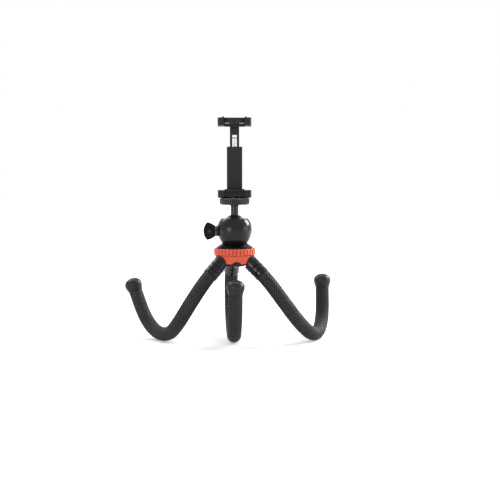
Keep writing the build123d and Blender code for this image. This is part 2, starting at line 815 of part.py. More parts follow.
def jaw_pad(low, high, lip_side):
    """A rubber pad with a low lip at the front edge, to keep the phone in."""
    x = window_half_w - snug_gap
    front, back = -jaw_front + pad_side_inset, column_front - running_gap
    lip_low, lip_high = (high, high + pad_lip_h) if lip_side > 0 else (low - pad_lip_h, low)
    plan = Pos(0, (front + back) / 2) * RectangleRounded(x * 2, back - front, edge_break * 2)
    lip = extrude(Pos(0, 0, lip_low) * plan, pad_lip_h)
    lip = lip & block(-x, x, front, front + pad_lip_w, lip_low, lip_high)
    return single(extrude(Pos(0, 0, low) * plan, high - low) + lip)


def upper_jaw():
    """The sliding jaw: two posts with ears, a cross bar, see-through slits and a spine."""
    high = jaw_roof_z + upper_jaw_h
    front, back = -jaw_front - overrun, jaw_back + overrun
    window_back, over = -jaw_front + window_depth, high + overrun
    jaw = jaw_blank(phone_high_z + running_gap, high - ear_h)
    jaw = chamfer(jaw.edges().group_by(Axis.Z)[-1], edge_break)
    jaw = jaw - pad_pocket(phone_high_z, jaw_roof_z)
    slit_low = jaw_roof_z + slit_floor
    ear_low = high - ear_h - edge_break * 2
    for side in (-1, 1):
        inner = side * (jaw_half_w - jaw_post_w)
        x0, x1 = sorted((inner, inner + side * ear_w))
        jaw = jaw + block(x0, x1, -jaw_front + edge_break, jaw_back - edge_break, ear_low, high)
        x0, x1 = sorted((side * slit_inner_x, side * slit_outer_x))
        jaw = jaw - block(x0, x1, front, back, slit_low, slit_low + slit_h)
        x0, x1 = sorted((side * bar_half_w, side * window_half_w))
        jaw = jaw - block(x0, x1, front, window_back, slit_low, over)
    jaw = jaw - block(-bar_half_w, bar_half_w, front, window_back, high - ear_h - bar_drop, over)
    slide_top = jaw_roof_z + upper_jaw_h / 2
    low, slide_back = phone_high_z - overrun, slide_front + slide_t
    return single(jaw - block(-slide_half_w, slide_half_w, slide_front, slide_back, low, slide_top))


def slide_bar():
    """The flat steel bar that carries the upper jaw in the column, slotted for its spring."""
    low, high = jaw_floor_z + slide_bottom_rise, jaw_roof_z + upper_jaw_h / 2
    bar = block(-slide_half_w, slide_half_w, slide_front, slide_front + slide_t, low, high)
    bar = chamfer(bar.edges().filter_by(Axis.X).group_by(Axis.Z)[0], edge_break)
    pin_z = jaw_floor_z + spring_high_rise
    slot_top = pin_z + spring_pin_d * 2
    slot_w, over = slide_slot_half_w, slide_half_w + overrun
    slot = block(-slot_w, slot_w, slide_front - overrun, jaw_back, low - overrun, slot_top)
    return single(bar - slot - along_x(spring_pin_d / 2, -over, over, pin_z, slide_mid_y()))


def spring_pin(rise, half_len):
    """A pin across the spring's end."""
    return single(along_x(spring_pin_d / 2, -half_len, half_len, jaw_floor_z + rise, slide_mid_y()))


def jaw_spring():
    """The tension spring that pulls the upper jaw down on the phone."""
    y = slide_mid_y()
    low = jaw_floor_z + spring_low_rise + spring_pin_d / 2 + snug_gap
    high = jaw_floor_z + spring_high_rise - spring_pin_d / 2 - snug_gap
    bore = tube(spring_bore_d / 2, low - overrun, high + overrun, 0, y)
    return single(tube(spring_d / 2, low, high, 0, y) - bore)


def main():
    for leg in leg_azimuths_deg:
        make_leg(leg)
    save(hub_shell(), "hub_shell")
    save(leg_carrier(), "leg_carrier")
    save(bottom_plate(), "bottom_plate")
    save(plate_screws(), "bottom_plate_screws")
    save(pan_ring(), "pan_lock_ring")
    save(swivel_base(), "swivel_base")
    save(pan_bolt(), "pan_bolt")
    save(pan_washer(), "pan_washer")
    save(ball_housing(), "ball_housing")
    save(brake_pad(), "brake_pad")
    save(lock_screw(), "lock_screw")
    save(lock_knob(), "lock_knob")
    save(ball_stem(), "ball_stem")
    save(camera_stud(), "camera_stud")
    save(lock_disc(), "lock_disc")
    save(clamp_base(), "clamp_base")
    save(thread_insert(), "thread_insert")
    save(back_cover(), "back_cover")
    save(cover_screws(), "back_cover_screws")
    save(jaw_pad(jaw_floor_z, phone_low_z, 1), "lower_jaw_pad")
    save(upper_jaw(), "upper_jaw")
    save(jaw_pad(phone_high_z, jaw_roof_z, -1), "upper_jaw_pad")
    save(slide_bar(), "slide_bar")
    save(spring_pin(spring_low_rise, column_half_w - edge_break), "spring_anchor_pin")
    save(spring_pin(spring_high_rise, slide_half_w - edge_break / 2), "spring_slide_pin")
    save(jaw_spring(), "jaw_spring")
    print("total height", jaw_roof_z + upper_jaw_h, "ball z", ball_z, "knob z", knob_z)


main()
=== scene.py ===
"""Flexible leg tripod with a ball head and a sprung clamp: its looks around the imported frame, in metres."""

import json
import math

import bpy
from mathutils import Matrix, Vector


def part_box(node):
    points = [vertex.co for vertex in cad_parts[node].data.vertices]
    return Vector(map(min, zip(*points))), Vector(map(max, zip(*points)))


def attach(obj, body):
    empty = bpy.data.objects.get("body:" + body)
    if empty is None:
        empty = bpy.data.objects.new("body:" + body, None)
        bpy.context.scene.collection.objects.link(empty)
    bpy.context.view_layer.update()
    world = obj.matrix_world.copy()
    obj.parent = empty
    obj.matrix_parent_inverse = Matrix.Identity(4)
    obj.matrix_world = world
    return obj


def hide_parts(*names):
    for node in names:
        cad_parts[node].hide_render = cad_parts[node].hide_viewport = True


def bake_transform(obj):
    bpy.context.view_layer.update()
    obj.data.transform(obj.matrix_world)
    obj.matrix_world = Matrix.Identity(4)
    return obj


MM = 0.001
LEGS = ("rear", "left", "right")
WHITE = (1.0, 1.0, 1.0, 1.0)
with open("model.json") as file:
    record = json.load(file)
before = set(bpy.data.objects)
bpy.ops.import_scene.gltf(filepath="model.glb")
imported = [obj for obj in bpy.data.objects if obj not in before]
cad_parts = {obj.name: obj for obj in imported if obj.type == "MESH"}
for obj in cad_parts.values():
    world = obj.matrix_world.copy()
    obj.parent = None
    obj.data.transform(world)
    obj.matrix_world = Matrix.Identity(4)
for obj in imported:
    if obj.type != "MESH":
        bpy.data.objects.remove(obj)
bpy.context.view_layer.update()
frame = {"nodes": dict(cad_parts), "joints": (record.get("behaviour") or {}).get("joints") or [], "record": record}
joints = {joint["name"]: joint for joint in frame["joints"]}

# Camera, from the photograph's view
CAMERA_AT = Vector((0.0, -1.0, 0.185))
CAMERA_AIM = Vector((0.0179, 0.0, 0.1078))
FOCAL_PX = 858.4
FRAME_PX = 500
SENSOR_MM = 36.0
CLIP_START, CLIP_END = 0.01, 20.0

# Legs, as in the CAD model
SLEEVE_R = 8.2 * MM
SLEEVE_BORE_R = 4.6 * MM
SLEEVE_START = 10.0 * MM
FERRULE_LEN = 20.0 * MM
FOOT_CAP_LEN = 17.0 * MM
FOOT_CAP_R = 10.3 * MM
FOOT_MOUTH_R = 8.6 * MM
FOOT_SPIGOT_R = 6.45 * MM
FOOT_SOCKET_LEN = 9.15 * MM
FOOT_WIDE_SHARE = 0.53
FOOT_MOUTH_EDGE = 0.3 * MM
FOOT_LIP = 0.9 * MM
FOOT_GROOVE = 0.35 * MM
FOOT_SHOULDER = 0.1 * MM
FOOT_STEPS = 18
FOOT_COLUMNS = 72
FOOT_SHARP_DEG = 60.0
TOE_RUN = 50.0 * MM
TOE_STRAIGHT = 16.0 * MM
BEND_PARTS = 200

# Rounded lips at the ferrules' ends
FERRULE_R = 8.8 * MM
BEAD_R = 0.4 * MM
BEAD_SIDES = 12
BEAD_COLUMNS = 72

# Diamond grip: each diamond is DIAMOND columns wide and as many rows long, and PLAIN_ROWS at an end are plain
DIAMOND = 6
KNURL_COLUMNS = 96
KNURL_ROW = 0.7 * MM
KNURL_DEPTH = 0.7 * MM
GROOVE_SHARE = 1 / 3
PLAIN_ROWS = 2
PLAIN_HEIGHT = 0.5
BORE_ROW_STEP = 6

# Core wire
WIRE_R = 1.5 * MM
WIRE_COLUMNS = 14
WIRE_ROW = 1.6 * MM
WIRE_START_INSET = 4.0 * MM
WIRE_END_INSET = 10.5 * MM

# Clamp pads, spring and screws
PAD_RIB_PITCH = 1.3 * MM
PAD_RIB_DEPTH = 0.35 * MM
PAD_LIP_W = 1.6 * MM
PAD_LIP_H = 0.9 * MM
PAD_LIP_TOP_SHARE = 0.6
PAD_RIB_SHARES = (0.15, 0.35, 0.5)
PAD_END_SHARE = 0.04
PAD_END_INSET = 0.35 * MM
PAD_SHARP_DEG = 35.0
SPRING_R = 1.35 * MM
SPRING_WIRE_R = 0.3 * MM
SPRING_TURNS = 34
SPRING_PIN_R = 0.9 * MM
SPRING_LOOP_GAP = 0.05 * MM
SPRING_END_TURNS = 0.75
SPRING_STEPS = 24
SPRING_COLUMNS = 8
LOOP_DEG = 300.0
LOOP_STEPS = 24
PLATE_SCREW_RING_R = 9.4 * MM
PLATE_SCREW_AZIMUTHS_DEG = (36.0, 156.0, 276.0)
PLATE_SCREW_HEAD_R = 1.8 * MM
PLATE_SCREW_R = 1.1 * MM
COVER_SCREW_HEAD_R = 1.6 * MM
COVER_SCREW_R = 0.9 * MM
SCREW_COLUMNS = 40
SHANK_TIP_SHARE, SHANK_TAPER_SHARE = 0.7, 0.4
HEAD_RIM_STEPS = 6
HEAD_RIM_SHARE, HEAD_TOP_SHARE, HEAD_FLAT_SHARE = 0.82, 0.8, 0.5
HEAD_WALL_SHARE, HEAD_DOME_SHARE, HEAD_FLAT_HEIGHT_SHARE = 0.25, 0.55, 0.95
RECESS_SIZE_SHARE, RECESS_DEPTH_SHARE, RECESS_ARM_SHARE = 0.55, 0.65, 0.2
RECESS_FLOOR_SHARE, RECESS_MOUTH_SHARE = 0.55, 1.25
RECESS_TURN = 0.13
KNOB_CAP_R = 2.5 * MM
KNOB_CAP_RISE = 0.7 * MM
KNOB_CAP_SINK = 0.3 * MM
KNOB_CAP_SHIFT = 0.4 * MM
KNOB_CAP_STEPS = 8
KNOB_CAP_COLUMNS = 48
LATHE_SHARP_DEG = 40.0

# Finishes of single nodes that differ from their slot's, and the reach within which painted shade darkens a
# crevice
NODE_FINISHES = {
    "lock_knob": "gloss_black",
    "swivel_base": "gloss_black",
    "lock_disc": "knurled_black",
    "slide_bar": "black_metal",
}
PAINTED_SHADE_REACH = 1.6 * MM

# Textures: cells a metre, the ranges that their values are stretched from, and samples a point
CLOUD_CELLS = 60.0
GLOSS_CELLS = 140.0
DUST_CELLS = 2600.0
PAPER_CELLS = 220.0
NOISE_RANGE = (0.3, 0.7)
DUST_RANGE = (0.62, 0.74)
PAINTED_SHADE_RANGE = (0.35, 0.95)
EDGE_RANGE = (0.75, 1.0)
GRIP_RANGE = (0.35, 0.9)
GROOVE_ROUGHER = 0.45
EDGE_R = 0.35 * MM
PAINTED_SHADE_SAMPLES = 6
EDGE_SAMPLES = 4
DUST_COLOUR = (0.35, 0.34, 0.32)

# Floor: half its width, its paper, and the distances over which its glow rises
FLOOR_REACH = 8.0
PAPER_ROUGHNESS = 0.95
PAPER_DARK, PAPER_LIGHT = (0.68, 0.68, 0.68), (0.71, 0.71, 0.71)
GLOW_RANGE = (0.25, 1.2)
GLOW_NEAR, GLOW_FAR = 0.35, 1.0

# Studio: the point that the lamps look at, its plain light, and the rays that meet the white background
LIT_POINT = Vector((0.0, 0.0, 0.13))
WORLD_LIGHT = 0.6
SHOWN_RAYS = ("Is Camera Ray", "Is Glossy Ray", "Is Transmission Ray")


def aim(obj, target):
    """Turn a camera or lamp so that it looks at a point."""
    direction = Vector(target) - obj.location
    obj.rotation_euler = direction.to_track_quat("-Z", "Y").to_euler()


def add_camera():
    """The photograph's viewpoint."""
    data = bpy.data.cameras.new("camera")
    camera = bpy.data.objects.new("camera", data)
    bpy.context.scene.collection.objects.link(camera)
    data.sensor_width = SENSOR_MM
    data.lens = FOCAL_PX / FRAME_PX * SENSOR_MM
    data.clip_start, data.clip_end = CLIP_START, CLIP_END
    camera.location = CAMERA_AT
    aim(camera, CAMERA_AIM)
    bpy.context.scene.camera = camera


class Nodes:
    """A small helper that adds shader nodes and links them."""

    def __init__(self, tree):
        self.tree = tree

    def add(self, kind, inputs=None, **settings):
        """A node with its settings and its sockets' values."""
        node = self.tree.nodes.new(kind)
        for name, value in settings.items():
            setattr(node, name, value)
        for name, value in (inputs or {}).items():
            node.inputs[name].default_value = value
        return node

    def link(self, output, socket):
        self.tree.links.new(output, socket)

    def place(self):
        """The object's own coordinates."""
        return self.add("ShaderNodeTexCoord").outputs["Object"]

    def noise(self, scale, detail=3.0, roughness=0.55):
        """Noise, with scale in cells a metre."""
        texture = self.add("ShaderNodeTexNoise", {"Scale": scale, "Detail": detail, "Roughness": roughness})
        self.link(self.place(), texture.inputs["Vector"])
        return texture.outputs["Fac"]

    def remap(self, factor, source, low, high):
        """A factor stretched from its source range to a new one."""
        ends = {"From Min": source[0], "From Max": source[1], "To Min": low, "To Max": high}
        node = self.add("ShaderNodeMapRange", ends)
        self.link(factor, node.inputs["Value"])
        return node.outputs["Result"]

    def mix(self, factor, low, high):
        """Two colours, or a linked colour and a colour, mixed by a factor."""
        node = self.add("ShaderNodeMix", data_type="RGBA")
        self.link(factor, node.inputs["Factor"])
        for socket, value in (("A", low), ("B", high)):
            if isinstance(value, tuple):
                node.inputs[socket].default_value = (*value, 1.0)
            else:
                self.link(value, node.inputs[socket])
        return node.outputs["Result"]

    def crevice(self, reach):
        """1 in the open and less in grooves and corners, within a reach; it sets where shade is painted."""
        node = self.add("ShaderNodeAmbientOcclusion", {"Distance": reach}, samples=PAINTED_SHADE_SAMPLES)
        return node.outputs["AO"]

    def height(self):
        """The grip's height, which the sleeve meshes carry."""
        return self.add("ShaderNodeAttribute", attribute_name="grip").outputs["Fac"]

    def edge(self, radius):
        """How near a surface point is to an outer edge, from the rounded normal."""
        bevel = self.add("ShaderNodeBevel", {"Radius": radius}, samples=EDGE_SAMPLES)
        flat = self.add("ShaderNodeNewGeometry")
        dot = self.add("ShaderNodeVectorMath", operation="DOT_PRODUCT")
        self.link(bevel.outputs["Normal"], dot.inputs[0])
        self.link(flat.outputs["Normal"], dot.inputs[1])
        return self.remap(dot.outputs["Value"], EDGE_RANGE, 1.0, 0.0)


def scaled(colour, share):
    """A colour made lighter or darker."""
    return tuple(min(1.0, channel * share) for channel in colour)


def surface(
    name,
    colour,
    rough,
    rough_spread=0.08,
    grain=900.0,
    grain_depth=0.02 * MM,
    edge=EDGE_R,
    edge_light=1.5,
    mottle=0.15,
    dust=0.0,
    crevice=0.0,
    reach=PAINTED_SHADE_REACH,
    grip=0.0,
    **shader_values,
):
    """A finish with mottled colour, grain, uneven gloss, dust, painted shade in grooves and corners, and lighter
    edges.
    """
    made = bpy.data.materials.new(name)
    made.use_nodes = True
    nodes = Nodes(made.node_tree)
    shader = made.node_tree.nodes["Principled BSDF"]
    for socket, value in shader_values.items():
        shader.inputs[socket.replace("_", " ")].default_value = value
    cloud = nodes.remap(nodes.noise(CLOUD_CELLS), NOISE_RANGE, 0.0, 1.0)
    base = nodes.mix(cloud, scaled(colour, 1 - mottle), scaled(colour, 1 + mottle))
    if dust:
        specks = nodes.remap(nodes.noise(DUST_CELLS, 2.0), DUST_RANGE, 0.0, dust)
        base = nodes.mix(specks, base, DUST_COLOUR)
    # Lighter edges are wear; the painted shade below is mixed into this same colour
    worn = nodes.mix(nodes.edge(edge), base, scaled(colour, edge_light))
    gloss = nodes.remap(nodes.noise(GLOSS_CELLS), NOISE_RANGE, rough - rough_spread, rough + rough_spread)
    # Painted shade: ambient occlusion darkens the colour in grooves and corners by the given share
    if crevice:
        shade = nodes.remap(nodes.crevice(reach), PAINTED_SHADE_RANGE, 1.0, 0.0)
        worn = nodes.mix(shade, worn, scaled(colour, 1 - crevice))
    # Painted shade in the grip's grooves: their colour darkens to the given share, and they are also made rougher
    if grip:
        groove = nodes.remap(nodes.height(), GRIP_RANGE, 1.0, 0.0)
        worn = nodes.mix(groove, worn, scaled(colour, grip))
        matt = nodes.add("ShaderNodeMath", operation="ADD")
        nodes.link(gloss, matt.inputs[0])
        nodes.link(nodes.remap(nodes.height(), GRIP_RANGE, GROOVE_ROUGHER, 0.0), matt.inputs[1])
        gloss = matt.outputs[0]
    nodes.link(worn, shader.inputs["Base Color"])
    nodes.link(gloss, shader.inputs["Roughness"])
    bevel = nodes.add("ShaderNodeBevel", {"Radius": edge}, samples=EDGE_SAMPLES)
    bump = nodes.add("ShaderNodeBump", {"Strength": 1.0, "Distance": grain_depth})
    nodes.link(nodes.noise(grain, 2.0), bump.inputs["Height"])
    nodes.link(bevel.outputs["Normal"], bump.inputs["Normal"])
    nodes.link(bump.outputs["Normal"], shader.inputs["Normal"])
    return made


def make_materials():
    """The finishes by name: one for each slot, and those of single nodes."""
    dull, shiny, metal = {"Specular_IOR_Level": 0.25}, {"Specular_IOR_Level": 0.35}, {"Metallic": 1.0}
    red, black = (0.70, 0.088, 0.040), (0.008, 0.008, 0.0085)
    charcoal, rubber = (0.013, 0.013, 0.0133), (0.026, 0.026, 0.027)
    steel, brass, aluminium = (0.56, 0.56, 0.55), (0.62, 0.43, 0.17), (0.72, 0.72, 0.73)
    # Painted shade: the ribbed, moulded and knurled finishes darken their colour in grooves and corners by the
    # share given
    ribbed = {"edge_light": 1.2, "mottle": 0.06, "crevice": 0.65}
    moulded = {"grain": 1500.0, "dust": 0.03, "crevice": 0.9, "reach": 4.5 * MM, "Specular_IOR_Level": 0.22}
    polished = {"dust": 0.015, "Specular_IOR_Level": 0.10}
    knurled = {"edge": 0.2 * MM, "edge_light": 1.8, "crevice": 0.9}
    satin = {"grain_depth": 0.01 * MM, "dust": 0.02}
    pad = {"grain": 1300.0, "grain_depth": 0.05 * MM, "dust": 0.05}
    foot = {"grain_depth": 0.012 * MM, "dust": 0.03}
    looks = {
        "red_plastic": (red, 0.42, ribbed | shiny),
        "black_plastic": (charcoal, 0.42, moulded),
        "satin_black": (scaled(black, 0.8), 0.22, satin | dull),
        "gloss_black": (scaled(black, 0.4), 0.24, polished),
        "black_metal": (black, 0.32, {"rough_spread": 0.05} | shiny),
        "knurled_black": (scaled(black, 5.0), 0.36, knurled | dull),
        "steel": (steel, 0.30, {"mottle": 0.05} | metal),
        "brass": (brass, 0.32, {"mottle": 0.08} | metal),
        "pad_rubber": (black, 0.62, pad | dull),
        "ferrule_plastic": (scaled(black, 0.6), 0.16, {"grain_depth": 0.006 * MM} | dull),
        "foot_rubber": (scaled(black, 1.4), 0.38, foot | dull),
        # The sleeve's grip grooves take painted shade at this share of its colour
        "sleeve_rubber": (rubber, 0.32, {"dust": 0.04, "grip": 0.06} | shiny),
        "wire_aluminium": (aluminium, 0.35, {"mottle": 0.05} | metal),
    }
    made = {}
    for name, (colour, rough, settings) in looks.items():
        made[name] = surface(name, colour, rough, **settings)
    return made


def paint_cad():
    """Each CAD node takes the finish of its slot in the record, or its own."""
    for part in frame["record"]["subparts"]:
        node = frame["nodes"][part["node"]]
        node.data.materials.clear()
        node.data.materials.append(finishes[NODE_FINISHES.get(part["node"], part["material_slot"])])


def new_piece(name, points, faces, slot, flat_faces=()):
    """A smooth mesh object with its finish and slot; the numbered faces stay flat."""
    mesh = bpy.data.meshes.new(name)
    mesh.from_pydata(points, [], faces)
    flat = set(flat_faces)
    mesh.polygons.foreach_set("use_smooth", [number not in flat for number in range(len(faces))])
    mesh.update()
    mesh.materials.append(finishes[slot])
    piece = bpy.data.objects.new(name, mesh)
    bpy.context.scene.collection.objects.link(piece)
    return piece


def ring(centre, side, up, radii):
    """Points round a centre, one for each radius."""
    turn = 2 * math.pi / len(radii)
    return [centre + (side * math.cos(c * turn) + up * math.sin(c * turn)) * r for c, r in enumerate(radii)]


def ring_faces(low, high, columns):
    """Quads between two rings that start at the given point numbers."""
    steps = [(c, (c + 1) % columns) for c in range(columns)]
    return [(low + c, low + d, high + d, high + c) for c, d in steps]


def axis_frame(direction):
    """Two unit vectors square to a direction."""
    side = direction.orthogonal().normalized()
    return side, direction.cross(side)


def lathe(name, origin, axis, profile, columns, slot, sharp_deg=LATHE_SHARP_DEG):
    """A closed solid turned about an axis, from (radius, height) points that start and end on it."""
    side, up = axis_frame(axis)
    points, faces = [origin + axis * profile[0][1]], []
    for radius, height in profile[1:-1]:
        points += ring(origin + axis * height, side, up, [radius] * columns)
    points.append(origin + axis * profile[-1][1])
    faces += [(0, 1 + (c + 1) % columns, 1 + c) for c in range(columns)]
    for row in range(len(profile) - 3):
        faces += ring_faces(1 + row * columns, 1 + (row + 1) * columns, columns)
    top, last = len(points) - 1, len(points) - 1 - columns
    faces += [(top, last + c, last + (c + 1) % columns) for c in range(columns)]
    piece = new_piece(name, points, faces, slot)
    piece.data.set_sharp_from_angle(angle=math.radians(sharp_deg))
    return piece


def leg_route(leg):
    """The knuckles of a leg and the unit direction of each run, from the joints."""
    knuckles, directions = [], []
    number = 1
    while f"{leg}_bend_{number}" in joints:
        knuckles.append(Vector(joints[f"{leg}_bend_{number}"]["pos_m"]))
        number += 1
    for before, after in zip(knuckles, knuckles[1:]):
        directions.append((after - before).normalized())
    first, last = joints[f"{leg}_bend_1"], joints[f"{leg}_bend_{number - 1}"]
    opened = Matrix.Rotation(math.radians(first["range_deg"][1]), 3, Vector(first["axis"]))
    closed = Matrix.Rotation(-math.radians(last["range_deg"][1]), 3, Vector(last["axis"]))
    directions.insert(0, opened @ directions[0])
    directions.append(closed @ directions[-1])
    return knuckles, directions


def leg_spans(leg):
    """For each knuckle, the start, corner and end of the smooth bend across it."""
    knuckles, directions = leg_route(leg)
    spans = []
    for k, knuckle in enumerate(knuckles):
        last = k == len(knuckles) - 1
        back = (knuckle - knuckles[k - 1]).length / 2 if k else SLEEVE_START
        ahead = TOE_STRAIGHT if last else (knuckles[k + 1] - knuckle).length / 2
        spans.append((knuckle - directions[k] * back, knuckle, knuckle + directions[k + 1] * ahead))
    return spans, directions


def bend_points(span, step):
    """Evenly spaced centres and tangents along one bend, ends included."""
    a, b, c = span

    def at(t):
        return a * (1 - t) ** 2 + b * 2 * t * (1 - t) + c * t * t

    lengths = [0.0]
    for part in range(BEND_PARTS):
        lengths.append(lengths[-1] + (at((part + 1) / BEND_PARTS) - at(part / BEND_PARTS)).length)
    count = max(2, round(lengths[-1] / step))
    centres, tangents, part = [], [], 0
    for row in range(count + 1):
        want = lengths[-1] * row / count
        while part < BEND_PARTS - 1 and lengths[part + 1] < want:
            part += 1
        t = (part + (want - lengths[part]) / (lengths[part + 1] - lengths[part])) / BEND_PARTS
        centres.append(at(t))
        tangents.append(((b - a) * (1 - t) + (c - b) * t).normalized())
    return centres, tangents


def straight_points(start, direction, length, step):
    """Evenly spaced centres and tangents along a straight run, without its start."""
    count = max(1, round(length / step))
    return [start + direction * (length * (i + 1) / count) for i in range(count)], [direction] * count


def frames_along(centres, tangents, side):
    """Rows of (centre, side, up) carried along a curve without twist, and the last side."""
    rows = []
    for centre, tangent in zip(centres, tangents):
        side = (side - tangent * side.dot(tangent)).normalized()
        rows.append((centre, side, tangent.cross(side)))
    return rows, side


def knurl_height(column, row):
    """Height of the grip, from 0 in a groove to 1 on a diamond's top."""
    crossings = ((column + row) / DIAMOND, (column - row) / DIAMOND)
    off = min(abs(place - round(place)) for place in crossings)
    return min(1.0, off / GROOVE_SHARE)


def knurled_sleeve(name, rows, first_row, plain_start, plain_end):
    """A sleeve piece: an outer skin of raised diamonds, end faces and a plain bore."""
    points, rings, grip = [], [], []
    last = len(rows) - 1
    for r, (centre, side, up) in enumerate(rows):
        plain = (plain_start and r < PLAIN_ROWS) or (plain_end and r > last - PLAIN_ROWS)
        heights = [PLAIN_HEIGHT if plain else knurl_height(c, first_row + r) for c in range(KNURL_COLUMNS)]
        grip += heights
        radii = [SLEEVE_R - KNURL_DEPTH * (1 - height) for height in heights]
        rings.append(len(points))
        points += ring(centre, side, up, radii)
    for r in sorted({0, last, *range(0, last, BORE_ROW_STEP)}, reverse=True):
        centre, side, up = rows[r]
        rings.append(len(points))
        points += ring(centre, side, up, [SLEEVE_BORE_R] * KNURL_COLUMNS)
    faces, flat = [], []
    for number, (low, high) in enumerate(zip(rings, rings[1:] + rings[:1])):
        if number < last:
            for quad_column, quad in enumerate(ring_faces(low, high, KNURL_COLUMNS)):
                a, b, c, d = quad
                if (quad_column + first_row + number) % 2:
                    faces += [(a, b, c), (a, c, d)]
                else:
                    faces += [(a, b, d), (b, c, d)]
        else:
            if number in (last, len(rings) - 1):
                flat += range(len(faces), len(faces) + KNURL_COLUMNS)
            faces += ring_faces(low, high, KNURL_COLUMNS)
    piece = new_piece(name, points, faces, "sleeve_rubber", flat)
    # The grip's heights go with the mesh; the finish paints shade into the grooves from them
    worn = piece.data.attributes.new("grip", "FLOAT", "POINT")
    worn.data.foreach_set("value", grip + [PLAIN_HEIGHT] * (len(points) - len(grip)))
    return piece


def blend_across(piece):
    """The piece's placement is baked into its mesh, where it stays."""
    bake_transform(piece)


def make_sleeves(leg):
    """The rubber sleeve of one leg, cut in the middle of each run."""
    spans, directions = leg_spans(leg)
    side = directions[0].orthogonal().normalized()
    row = 0
    for k, span in enumerate(spans):
        centres, tangents = bend_points(span, KNURL_ROW)
        last = k == len(spans) - 1
        if last:
            more = TOE_RUN - TOE_STRAIGHT - FOOT_CAP_LEN
            extra, same = straight_points(centres[-1], directions[-1], more, KNURL_ROW)
            centres, tangents = centres + extra, tangents + same
        rows, side = frames_along(centres, tangents, side)
        piece = knurled_sleeve(f"{leg}_sleeve_{k + 1}", rows, row, k == 0, last)
        row += len(rows) - 1
        blend_across(piece)
        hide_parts(f"{leg}_leg_sleeve_{k}", f"{leg}_leg_sleeve_{k + 1}")


def bead(origin, axis, radius, points, faces):
    """Adds a rounded bead round an axis to a mesh in the making."""
    side, up = axis_frame(axis)
    start = len(points)
    for step in range(BEAD_SIDES):
        turn = 2 * math.pi * step / BEAD_SIDES
        centre = origin + axis * (BEAD_R * math.sin(turn))
        points += ring(centre, side, up, [radius + BEAD_R * math.cos(turn)] * BEAD_COLUMNS)
    for step in range(BEAD_SIDES):
        low, high = start + step * BEAD_COLUMNS, start + (step + 1) % BEAD_SIDES * BEAD_COLUMNS
        faces += ring_faces(low, high, BEAD_COLUMNS)


def make_ferrule_beads(leg):
    """The rounded lips at the two ends of the ferrule, which catch the light."""
    knuckles, directions = leg_route(leg)
    face = knuckles[0] - directions[0] * (FERRULE_LEN + SLEEVE_START)
    points, faces = [], []
    for place in (BEAD_R, FERRULE_LEN - BEAD_R):
        bead(face + directions[0] * place, directions[0], FERRULE_R - BEAD_R / 2, points, faces)
    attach(new_piece(f"{leg}_ferrule_lips", points, faces, "ferrule_plastic"), "hub")


def make_wire(leg):
    """The bendable core wire of one leg, in one piece for each knuckle."""
    spans, directions = leg_spans(leg)
    side = directions[0].orthogonal().normalized()
    for k, span in enumerate(spans):
        centres, tangents = bend_points(span, WIRE_ROW)
        if k == 0:
            hidden = FERRULE_LEN + WIRE_START_INSET
            start = span[0] - directions[0] * hidden
            extra, same = straight_points(start, directions[0], hidden, WIRE_ROW)
            centres, tangents = [start] + extra[:-1] + centres, [directions[0]] + same[:-1] + tangents
        if k == len(spans) - 1:
            more = TOE_RUN - TOE_STRAIGHT - WIRE_END_INSET
            extra, same = straight_points(centres[-1], directions[-1], more, WIRE_ROW)
            centres, tangents = centres + extra, tangents + same
        rows, side = frames_along(centres, tangents, side)
        points, faces = [], [tuple(reversed(range(WIRE_COLUMNS)))]
        for centre, across, up in rows:
            points += ring(centre, across, up, [WIRE_R] * WIRE_COLUMNS)
        for r in range(len(rows) - 1):
            faces += ring_faces(r * WIRE_COLUMNS, (r + 1) * WIRE_COLUMNS, WIRE_COLUMNS)
        faces.append(tuple(range(len(points) - WIRE_COLUMNS, len(points))))
        piece = new_piece(f"{leg}_wire_{k + 1}", points, faces, "wire_aluminium", (0, len(faces) - 1))
        blend_across(piece)
        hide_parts(f"{leg}_leg_core_wire")


def foot_profile():
    """The foot cap's section, from the bottom of its socket round its mouth to its tip."""
    wide = FOOT_WIDE_SHARE * FOOT_CAP_LEN
    neck = FOOT_LIP + 2 * FOOT_GROOVE
    profile = [(0.0, FOOT_SOCKET_LEN), (FOOT_SPIGOT_R, FOOT_SOCKET_LEN), (FOOT_SPIGOT_R, 0.0)]
    profile += [(FOOT_MOUTH_R - FOOT_MOUTH_EDGE, 0.0), (FOOT_MOUTH_R, FOOT_MOUTH_EDGE)]
    profile += [(FOOT_MOUTH_R, FOOT_LIP), (FOOT_MOUTH_R - FOOT_GROOVE, FOOT_LIP + FOOT_GROOVE)]
    profile.append((FOOT_MOUTH_R + FOOT_SHOULDER, neck))
    for step in range(1, FOOT_STEPS + 1):
        share = step / FOOT_STEPS
        swell = math.sin(share * math.pi / 2)
        profile.append((FOOT_MOUTH_R + (FOOT_CAP_R - FOOT_MOUTH_R) * swell, neck + (wide - neck) * share))
    for step in range(1, FOOT_STEPS + 1):
        turn = step / FOOT_STEPS * math.pi / 2
        height = wide + (FOOT_CAP_LEN - wide) * math.sin(turn)
        profile.append((FOOT_CAP_R * math.cos(turn) if step < FOOT_STEPS else 0.0, height))
    return profile


def make_foot_cap(leg):
    """The smooth rubber bulb at the toe, with a lip at its mouth."""
    knuckles, directions = leg_route(leg)
    mouth = knuckles[-1] + directions[-1] * (TOE_RUN - FOOT_CAP_LEN)
    name, axis = f"{leg}_foot", directions[-1]
    piece = lathe(name, mouth, axis, foot_profile(), FOOT_COLUMNS, "foot_rubber", FOOT_SHARP_DEG)
    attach(piece, f"{leg}_link_{len(knuckles)}")
    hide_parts(f"{leg}_leg_foot_cap")


